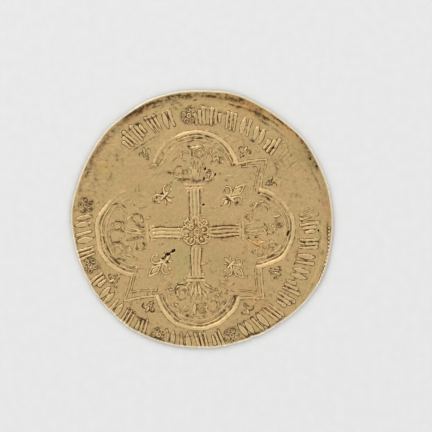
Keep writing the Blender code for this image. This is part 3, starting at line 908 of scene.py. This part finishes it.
# %% Wear the cross side
# Worn patches: centre in the die's own frame, radius and how much is lost.
WORN = (
    (-9.6, 6.4, 3.3, 0.85), (12.6, 5.0, 2.9, 0.85), (-7.4, 7.2, 1.9, 0.9), (9.6, 7.2, 1.6, 0.4),
    (-5.0, 5.6, 0.8, 0.7), (-3.6, 10.0, 1.9, 0.55), (-12.6, 5.4, 2.4, 0.6), (7.6, 0.9, 1.6, 0.3),
    (-8.2, 3.6, 1.8, 0.35), (5.0, -14.6, 1.6, 0.4), (13.6, 7.4, 2.0, 0.5), (-6.6, 4.4, 1.4, 0.5))
# Pits: centre, length, width, direction and depth.
PITS = (
    (10.7, -0.25, 0.9, 0.36, 66, 0.07), (-2.72, -2.25, 0.62, 0.46, 42, 0.08),
    (-3.38, -2.66, 0.6, 0.46, 16, 0.08), (-3.05, -2.45, 0.5, 0.2, 28, 0.06),
    (-3.75, -2.95, 0.36, 0.22, 40, 0.05), (-3.45, -3.55, 0.5, 0.26, -60, 0.05),
    (-4.0, -3.17, 0.28, 0.32, 10, 0.06), (0.82, 3.24, 0.34, 0.36, 0, 0.06),
    (0.98, 7.28, 0.5, 0.3, 65, 0.06), (0.8, 6.2, 0.46, 0.28, 80, 0.06),
    (2.22, 6.6, 0.4, 0.3, 65, 0.06), (14.27, 0.14, 0.32, 0.32, 100, 0.06),
    (12.55, -1.31, 0.34, 0.3, -30, 0.06), (11.45, -3.8, 0.46, 0.22, 65, 0.05),
    (7.1, 4.42, 0.3, 0.28, 0, 0.05), (8.85, 9.75, 0.4, 0.24, 10, 0.05),
    (13.2, 8.5, 0.34, 0.28, -50, 0.06), (13.95, 7.6, 0.36, 0.3, -60, 0.06),
    (13.25, 1.3, 1.7, 0.14, 2, 0.05), (12.35, 1.25, 0.32, 0.26, 0, 0.05),
    (-4.68, 3.9, 0.34, 0.26, 45, 0.05), (-4.1, 4.4, 0.4, 0.26, 45, 0.05),
    (4.7, 3.3, 0.44, 0.24, 60, 0.04), (2.9, 3.05, 0.3, 0.22, 45, 0.04),
    (3.6, 3.75, 0.4, 0.22, -20, 0.04), (-0.85, 9.88, 0.34, 0.24, -40, 0.04))
# How far the die's cuts are blurred, and how a hollow is told: how far round a place its
# neighbours are looked at, and how much lower than them it has to be.
BLUR = 0.022
HOLLOW_REACH = 0.20
HOLLOW_DEPTH = 0.03


def soft(raster, radius):
    """A raster blurred by a bell curve of that radius in millimetres."""
    waves = np.fft.rfft2(raster)
    across = np.fft.fftfreq(CELLS)[:, None] ** 2 + np.fft.rfftfreq(CELLS)[None, :] ** 2
    passed = np.exp(-2 * (math.pi * radius / PITCH) ** 2 * across)
    return np.fft.irfft2(waves * passed, (CELLS, CELLS))


def cloud(size, seed):
    """Random waves about that many millimetres long, with a mean of 0 and a spread of 1."""
    waves = soft(np.random.default_rng(seed).standard_normal((CELLS, CELLS)), size / 4)
    return waves / waves.std()


def patch(die, x, y, radius):
    away = np.hypot(GRID_X - x - die.place[0], GRID_Y - y - die.place[1]) / radius
    return np.exp(-away ** 4)


def wear(die, worn, seed):
    lost = np.zeros((CELLS, CELLS))
    for x, y, radius, share in worn:
        lost = np.maximum(lost, share * patch(die, x, y, radius))
    ragged = 0.10 * cloud(2.5, seed) * (lost > 0.02)
    die.lost = np.clip(lost + ragged + 0.07 * cloud(1.2, seed + 1), 0, 1)
    die.height = soft(die.height * (1 - die.lost), BLUR)
    die.foot = die.foot + 0.22 * die.lost ** 1.5
    die.hollow = np.clip((soft(die.height, HOLLOW_REACH) - die.height) / HOLLOW_DEPTH, -1, 1)


def dig_pits(die, pits):
    """Small pits, which the dirt fills."""
    for x, y, length, width, angle, depth in pits:
        ahead = polar(length / 2, angle)
        pit = Die(die.place)
        pit.cut(line((x - ahead[0], y - ahead[1]), (x + ahead[0], y + ahead[1])), width, 1.0, leafy)
        die.pit = np.maximum(die.pit, soft(pit.height, 0.02))
        die.height = die.height - depth * soft(pit.height, 0.03)


wear(cross, WORN, 11)
dig_pits(cross, PITS)
# The ground's waves: height, length and seed.
for height, size, seed in ((0.007, 5.0, 21), (0.006, 2.2, 24), (0.006, 1.1, 22), (0.003, 0.5, 23)):
    cross.ground = cross.ground + height * cloud(size, seed)
print("Relief after wear:", round(cross.height.max(), 3), "mm")

# %% [markdown]
# ## The plain side
#
# The other side isn't seen in the photograph. It is finished in keeping but more plainly: a lamb
# with a staff in a border of small lobes, with a ring of strokes round it. It uses the same tools.

# %% Cut the plain side
LAMB = 8.8
LOBE_RADIUS = 9.8
PLAIN_STROKES = 60
# The lamb's legs: place and lean.
LEGS = ((-0.20, -4), (-0.09, 5), (0.10, -4), (0.22, 6))
PLAIN_WORN = ((-6.0, 9.5, 3.0, 0.7), (9.5, -5.0, 2.6, 0.6), (-11.5, -3.5, 2.4, 0.6))
PLAIN_PITS = ((4.1, 2.2, 0.4, 0.2, 30, 0.03), (-7.3, -6.2, 0.3, 0.2, 80, 0.03))
plain = Die(PLAIN_PLACE)


def lamb_part(path, width, height, shape=even):
    plain.cut(placed(path, angle=180, size=LAMB), width, height, shape)


def cut_lamb():
    circle = around(1, np.linspace(0, math.tau, 40))
    lamb_part(circle * (0.27, 0.15) + (0, 0.03), 0.36, 0.075)
    for row, lift in enumerate((-0.05, 0.03, 0.11)):
        for number in range(6 - abs(row - 1)):
            x = (number - (5 - abs(row - 1)) / 2) * 0.08
            lamb_part(arc(x, lift, 0.026, 0, 300, 8), 0.20, 0.065)
    lamb_part(placed(circle * (0.12, 0.07), 0.43, 0.25, 28), 0.34, 0.075)
    lamb_part([(0.44, 0.27)], 0.30, 0.07)
    lamb_part(line((0.30, 0.12), (0.36, 0.20)), 1.3, 0.07)
    for x, lean in LEGS:
        lamb_part(placed(line((0, 0), (0, 0.26)), x, -0.38, lean), 0.50, 0.075)
    lamb_part(placed(line((0, 0), (0, 0.24), steps=6), -0.29, 0.08, 150), 0.6, 0.07, leafy)
    lamb_part(line((0, 0.18), (0, 0.60)), 0.30, 0.075)
    for lift in (0.47, 0.57):
        lamb_part(line((0, lift), (0.24, lift)), 0.22, 0.065)
    for turn in (0, 90, 180, 270):
        lamb_part([np.add(polar(0.035, turn), (0, 0.66))], 0.34, 0.07)


def cut_plain_border():
    angles = np.linspace(0, math.tau, 241)
    for inset, width in ((0.0, 0.38), (0.55, 0.18)):
        radius = LOBE_RADIUS - inset - 0.7 * (1 - np.abs(np.sin(6 * angles)))
        plain.cut(around(radius, angles), width, 0.075)
    turn = 360 // PLAIN_STROKES
    for number in range(PLAIN_STROKES):
        length = RING_HEIGHT if number % 3 else RING_HEIGHT * 0.6
        path = placed(line((0, 0), (0, length)), *polar(11.8, turn * number), turn * number - 90)
        plain.cut(path, 0.36, 0.07)


cut_lamb()
cut_plain_border()
wear(plain, PLAIN_WORN, 31)
dig_pits(plain, PLAIN_PITS)
plain.ground = 0.006 * np.abs(cloud(5.0, 41)) + 0.0025 * cloud(1.1, 42)
print("The plain side stands", round(plain.height.max(), 3), "mm high")

# %% [markdown]
# ## The blank
#
# A grid is the best start for a surface that a die presses, because its points are spread evenly.
# The square grid is bent to a disc that keeps each cell's area, so no points crowd at a pole.
# Its edge is extruded ring by ring into a rounded rim, and a coarser disc closes the plain side.

# %% Make the blank
CROSS_CUTS = 450
PLAIN_CUTS = 160
# The gap between the coarser disc and the rim's last ring, which a strip of faces closes.
UNDER_GAP = 0.06
# The rim, as steps from the cross side to the plain side: inwards from the edge, and a share of
# the way up from the plain field to the cross field.
RIM = ((0.20, 1.0), (0.15, 1.01), (0.10, 0.995), (0.055, 0.95), (0.02, 0.86), (0.0, 0.70),
       (0.0, 0.36), (0.02, 0.18), (0.06, 0.07), (0.12, 0.01), (0.20, 0.0))


def disc_of(points):
    """Points of a square from -1 to 1 moved to a disc, each cell keeping its area."""
    u, v = points[:, 0], points[:, 1]
    wide = np.abs(u) >= np.abs(v)
    radius = np.where(wide, u, v)
    safe = np.where(radius == 0, 1, radius)
    turn = np.where(wide, math.pi / 4 * v / safe, math.pi / 2 - math.pi / 4 * u / safe)
    x, y = radius * np.cos(turn), radius * np.sin(turn)
    return np.hypot(x, y), np.arctan2(y, x)


def on_flan(share, angle, inset):
    """The place of a point at a share of the way out to the edge, less an inset."""
    return around(share * (edge_radius(angle) - inset), angle) + FLAN_CENTRE


def get_points(mesh):
    points = np.empty(len(mesh.vertices) * 3)
    mesh.vertices.foreach_get("co", points)
    return points.reshape(-1, 3)


def set_points(mesh, points):
    mesh.vertices.foreach_set("co", points.ravel())
    mesh.update()


def make_disc(name, cuts, level, inset):
    """A grid bent to the flan's outline, flat at its level."""
    bpy.ops.object.select_all(action="DESELECT")
    bpy.ops.mesh.primitive_grid_add(x_subdivisions=cuts, y_subdivisions=cuts, size=2)
    disc = bpy.context.object
    disc.name = name
    points = get_points(disc.data)
    share, angle = disc_of(points)
    places = on_flan(share, angle, inset)
    set_points(disc.data, np.column_stack((places, np.full(len(places), level))) * MM)
    return disc


def edit_open_edges(thing):
    """Opens a mesh for editing, with just its open edges selected."""
    bpy.ops.object.mode_set(mode="EDIT")
    bpy.ops.mesh.select_all(action="DESELECT")
    bpy.ops.mesh.select_mode(type="EDGE")
    work = bmesh.from_edit_mesh(thing.data)
    for edge in work.edges:
        edge.select_set(edge.is_boundary)
    bmesh.update_edit_mesh(thing.data)
    return work


def extrude_rim(disc):
    """Extrudes the open edge ring by ring, each ring placed by the rim's profile."""
    work = edit_open_edges(disc)
    thick = CROSS_FIELD - PLAIN_FIELD
    for inset, lift in RIM[1:]:
        bpy.ops.mesh.extrude_region_move()
        ring = [vertex for vertex in work.verts if vertex.select]
        out = np.array([vertex.co[:2] for vertex in ring]) / MM - FLAN_CENTRE
        angle = np.arctan2(out[:, 1], out[:, 0])
        places = on_flan(1.0, angle, inset)
        for vertex, (x, y) in zip(ring, places):
            vertex.co = (x * MM, y * MM, (PLAIN_FIELD + lift * thick) * MM)
    bmesh.update_edit_mesh(disc.data)
    bpy.ops.object.mode_set(mode="OBJECT")


def close_plain_side(coin, under):
    """Joins the coarser disc and bridges it to the last ring of the rim."""
    coin.select_set(True)
    under.select_set(True)
    bpy.context.view_layer.objects.active = coin
    bpy.ops.object.join()
    edit_open_edges(coin)
    bpy.ops.mesh.bridge_edge_loops()
    bpy.ops.mesh.select_all(action="SELECT")
    bpy.ops.mesh.normals_make_consistent(inside=False)
    bpy.ops.object.mode_set(mode="OBJECT")


coin = make_disc("struck_coin", CROSS_CUTS, CROSS_FIELD, RIM[0][0])
extrude_rim(coin)
under = make_disc("under", PLAIN_CUTS, PLAIN_FIELD, RIM[-1][0] + UNDER_GAP)
close_plain_side(coin, under)
print("The blank has", len(coin.data.polygons), "faces")

# %% [markdown]
# ## Striking the coin
#
# Now each point of the blank goes up or down by what the die says at its place. The relief fades
# out over the rim. Then a Decimate modifier takes points away where the metal is nearly flat and
# leaves them where the figures are, which keeps the mesh light enough to send on.

# %% Strike both sides
RIM_FADE = 0.30
FACE_LIMIT = 190000
WAVER_X, WAVER_Y = 0.05 * cloud(2.4, 51), 0.05 * cloud(2.4, 52)


def sample(raster, x, y):
    """The raster's values at points, mixed from the four cells round each."""
    across = np.clip((x + DIE_HALF) / PITCH, 0, CELLS - 1.001)
    up = np.clip((y + DIE_HALF) / PITCH, 0, CELLS - 1.001)
    i, j = across.astype(int), up.astype(int)
    s, t = across - i, up - j
    low = raster[j, i] * (1 - s) + raster[j, i + 1] * s
    high = raster[j + 1, i] * (1 - s) + raster[j + 1, i + 1] * s
    return low * (1 - t) + high * t


def by_hand(x, y):
    """Points moved a little, so that each line wavers as a hand-cut one does."""
    return x + sample(WAVER_X, x, y), y + sample(WAVER_Y, x, y)


def from_edge(x, y):
    """How far points are inside the edge."""
    x, y = x - FLAN_CENTRE[0], y - FLAN_CENTRE[1]
    return edge_radius(np.arctan2(y, x)) - np.hypot(x, y)


def strike(coin):
    points = get_points(coin.data) / MM
    x, y, z = points.T
    fade = np.clip(from_edge(x, y) / RIM_FADE, 0, 1)
    middle = (CROSS_FIELD + PLAIN_FIELD) / 2
    up = sample(cross.height, *by_hand(x, y)) * np.clip(fade * 1.6, 0, 1)
    up = up + sample(cross.ground, x, y) * fade
    down = sample(plain.height, x, y) * fade + sample(plain.ground, x, y) * fade
    z = np.where(z > middle, z + up, z - down)
    set_points(coin.data, np.column_stack((x, y, np.clip(z, 0.0, COIN_TOP))) * MM)


def thin_out(coin):
    now = sum(len(face.vertices) - 2 for face in coin.data.polygons)
    bpy.ops.object.select_all(action="DESELECT")
    coin.select_set(True)
    bpy.context.view_layer.objects.active = coin
    thin = coin.modifiers.new("thin_out", "DECIMATE")
    thin.ratio = FACE_LIMIT / now
    thin.use_collapse_triangulate = True
    bpy.ops.object.modifier_apply(modifier=thin.name)
    bpy.ops.object.shade_smooth()
    return now


strike(coin)
before = thin_out(coin)
print("From", before, "triangles to", len(coin.data.polygons))

# %% [markdown]
# ## What the metal remembers
#
# The finish needs to know, at each point, how far the nearest foot is, how hollow the place is,
# how worn it is and what has stained it. These are kept as attributes of the mesh's points, worked
# out after the faces were thinned, so that they move with the surface and need no image.

# %% Keep the attributes
# Stains: centre in the die's frame, radius across and along, direction, colour and strength.
STAINS = (
    (3.4, -3.4, 2.4, 2.4, 0, (0.955, 0.94, 0.935), 1.0),
    (-8.0, 6.0, 3.6, 2.8, 0, (0.95, 0.955, 0.94), 1.0),
    (-4.0, 1.7, 2.6, 1.0, 0, (0.965, 0.965, 0.94), 1.0),
    (7.2, 0.3, 3.0, 3.2, 0, (1.035, 1.03, 1.03), 1.0),
    (-7.0, 0.0, 3.0, 3.2, 0, (1.045, 1.04, 1.04), 1.0),
    (0.0, 7.2, 3.2, 3.0, 0, (1.02, 1.02, 1.03), 1.0),
    (0.0, -7.2, 3.2, 3.0, 0, (1.035, 1.035, 1.03), 1.0),
    (-1.9, -3.6, 0.9, 1.9, 0, (0.86, 0.98, 0.9), 0.8),
    (1.9, -3.4, 0.8, 1.7, 0, (0.88, 1.0, 0.94), 0.5),
    (5.5, 15.0, 3.6, 0.9, -24, (0.98, 0.78, 0.55), 0.8),
    (10.6, 12.6, 2.6, 0.8, -46, (0.98, 0.78, 0.55), 0.8),
    (-7.4, 13.7, 2.6, 0.55, 32, (0.7, 0.56, 0.5), 0.8),
    (12.9, 8.4, 2.4, 0.8, -47, (0.76, 0.77, 0.7), 0.8),
    (15.2, 2.4, 0.5, 1.6, 4, (1.0, 0.84, 0.8), 0.7),
    (-10.8, 7.4, 0.7, 0.8, 0, (1.08, 1.04, 0.72), 0.6),
    (-12.6, 8.6, 0.5, 2.2, 30, (0.74, 0.76, 0.72), 0.6),
    (1.0, 15.6, 4.0, 0.4, 0, (0.84, 0.86, 0.7), 0.5),
    (0.0, 0.0, 1.7, 1.7, 0, (0.97, 0.9, 0.84), 0.8),
    (3.3, 0.0, 1.8, 0.8, 0, (0.89, 0.81, 0.74), 0.9),
    (0.0, -3.2, 0.5, 1.6, 0, (1.0, 0.9, 0.86), 0.7),
    (7.0, -1.4, 1.0, 0.5, 0, (1.04, 0.88, 0.7), 0.8),
    (0.0, 5.9, 1.4, 0.5, 0, (0.86, 0.8, 0.84), 0.7),
    (7.0, -8.0, 2.0, 1.2, -40, (1.0, 0.86, 0.76), 0.6),
    (-2.6, -4.6, 0.5, 0.6, 0, (1.0, 0.86, 0.8), 0.6),
    (-11.8, -8.0, 1.2, 3.5, 40, (0.96, 0.88, 0.86), 0.6))


def stain_colour(x, y):
    colour = np.ones((len(x), 4))
    for at_x, at_y, across, along, angle, tint, strength in STAINS:
        dx, dy = x - CROSS_PLACE[0] - at_x, y - CROSS_PLACE[1] - at_y
        c, s = math.cos(math.radians(angle)), math.sin(math.radians(angle))
        away = ((dx * c + dy * s) / across) ** 2 + ((dy * c - dx * s) / along) ** 2
        share = strength * np.exp(-away)[:, None]
        colour[:, :3] *= 1 - share * (1 - np.array(tint))
    return colour


def store(mesh, name, values):
    mesh.attributes.new(name, "FLOAT", "POINT").data.foreach_set("value", values)


def keep_attributes(coin):
    mesh = coin.data
    x, y, z = (get_points(mesh) / MM).T
    top = z > (CROSS_FIELD + PLAIN_FIELD) / 2
    for name in LAYERS:
        seen = sample(getattr(cross, name), *by_hand(x, y))
        store(mesh, name, np.where(top, seen, sample(getattr(plain, name), x, y)))
    store(mesh, "edge", np.clip(from_edge(x, y), 0, 2))
    stained = np.where(top[:, None], stain_colour(x, y), 1.0)
    mesh.attributes.new("stain", "FLOAT_COLOR", "POINT").data.foreach_set("color", stained.ravel())


keep_attributes(coin)
print("Stored:", [item.name for item in coin.data.attributes if not item.name.startswith(".")])

# %% [markdown]
# ## The gold
#
# Old gold is a metal, so its colour comes from what it reflects. It isn't a mirror: handling left
# it matt, a little smoother on the tops of the figures, which are also painted paler as a
# highlight. A pale line along the rim is a painted reflection of the light round the rounded edge.
# Brown dirt sits in thin broken lines at the feet, and the ground is mottled with slightly greener
# and pinker patches.

# %% Mix the gold
FIELD_GOLD = (0.562, 0.384, 0.167, 1)
# Painted highlight: the paler gold that the tops of the figures are mixed to.
RIDGE_HIGHLIGHT_GOLD = (0.640, 0.470, 0.232, 1)
# Painted reflection: the pale line along the rim, which stands for the rounded edge reflecting the
# light round it.
RIM_REFLECTION_GOLD = (0.740, 0.660, 0.490, 1)
PALE_GOLD = (0.760, 0.580, 0.300, 1)
BROWN = (0.105, 0.055, 0.024, 1)
PINK_GOLD = (0.585, 0.372, 0.184, 1)
GREEN_GOLD = (0.520, 0.388, 0.162, 1)
UMBER = (0.230, 0.145, 0.070, 1)
BLACK = (0.020, 0.011, 0.006, 1)
PER_MM = 1000.0
BUMP_HEIGHT = 0.034


def stored(name, output="Fac"):
    """One of the mesh's attributes."""
    return Wire.node("ShaderNodeAttribute", {"attribute_name": name}, output=output)


def spots(place, to_a_mm, rough=0.6, detail=3):
    """Noise with that many spots to a millimetre."""
    return noise(place, to_a_mm * PER_MM, detail, rough)


def clean_colour(place, mottle, top):
    """Gold that is greener, pinker, browner and paler from spot to spot, with painted highlights on
    the tops of the figures, times its stains.
    """
    colour = mixed(spots(place, 0.35, 0.5).ramp(0.38, 0.62), GREEN_GOLD, FIELD_GOLD)
    colour = mixed(mottle.ramp(0.42, 0.66), colour, PINK_GOLD)
    colour = mixed(spots(place, 1.3).ramp(0.50, 0.70) * 0.5, colour, GREEN_GOLD)
    # The tops of the figures are painted paler, as a highlight.
    colour = mixed(top, colour, RIDGE_HIGHLIGHT_GOLD)
    colour = mixed(spots(place, 4.2).ramp(0.54, 0.34) * 0.20, colour, UMBER)
    colour = mixed(spots(place, 3.3).ramp(0.54, 0.74) * 0.32, colour, PALE_GOLD)
    return mixed(1.0, colour, stored("stain", "Color"), "MULTIPLY")


def dirt_share(place):
    """Brown dirt: broken lines at the feet, pools in the hollows, and smears."""
    broken = spots(place, 1.9, 0.7, 4)
    by_foot = (1 - ((stored("foot") - 0.015).size() / 0.065).held()).ramp(0.0, 0.9)
    breaks = 0.20 + 0.80 * broken.ramp(0.38, 0.54)
    lines = by_foot * stored("grime") * breaks * (1 - stored("lost"))
    pools = stored("hollow").ramp(0.2, 1.0) * broken.ramp(0.40, 0.62) * 0.22
    smears = stored("soil") * (0.40 + 0.9 * broken.ramp(0.40, 0.60))
    return (lines + pools + smears).held()


def gold():
    material, shader, place = new_material("old_gold")
    # How high a point stands: it paints the tops paler as a highlight and makes them a little
    # smoother.
    top = stored("height").ramp(0.03, 0.10)
    mottle = spots(place, 2.4, 0.65, 4)
    dirt = dirt_share(place)
    colour = mixed(dirt, clean_colour(place, mottle, top), BROWN)
    colour = mixed(stored("pit").ramp(0.1, 0.6), colour, BLACK)
    # A pale line painted along the rim: a painted reflection of the panels and the floor on the
    # rounded edge.
    colour = mixed((1 - stored("edge").ramp(0.13, 0.30)) * 0.85, colour, RIM_REFLECTION_GOLD)
    feed(shader, "Base Color", colour)
    shader.inputs["Metallic"].default_value = 1.0
    feed(shader, "Roughness", (0.42 + 0.14 * mottle + 0.25 * dirt - 0.04 * top).held())
    bumps = spots(place, 5.0) * 0.7 + spots(place, 1.2) * 1.7
    bump = Wire.node("ShaderNodeBump", None,
                     {"Strength": 1.0, "Distance": BUMP_HEIGHT * MM, "Height": bumps})
    feed(shader, "Normal", bump)
    return material


coin.data.materials.clear()
coin.data.materials.append(gold())
print("The gold has", len(coin.data.materials[0].node_tree.nodes), "nodes")

# %% [markdown]
# ## Finish
#
# The struck coin takes the place of the plain solid, which is hidden, and rides on the root body.
# Its open edges and its volume are printed.

# %% Put the coin in the frame
def check_closed(coin):
    work = bmesh.new()
    work.from_mesh(coin.data)
    loose = sum(not edge.is_manifold for edge in work.edges)
    volume = work.calc_volume(signed=True)
    work.free()
    return loose, volume


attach(coin, "root")
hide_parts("coin")
open_edges, volume = check_closed(coin)
print("Open edges:", open_edges, " volume:", round(volume / MM ** 3, 1), "mm3")
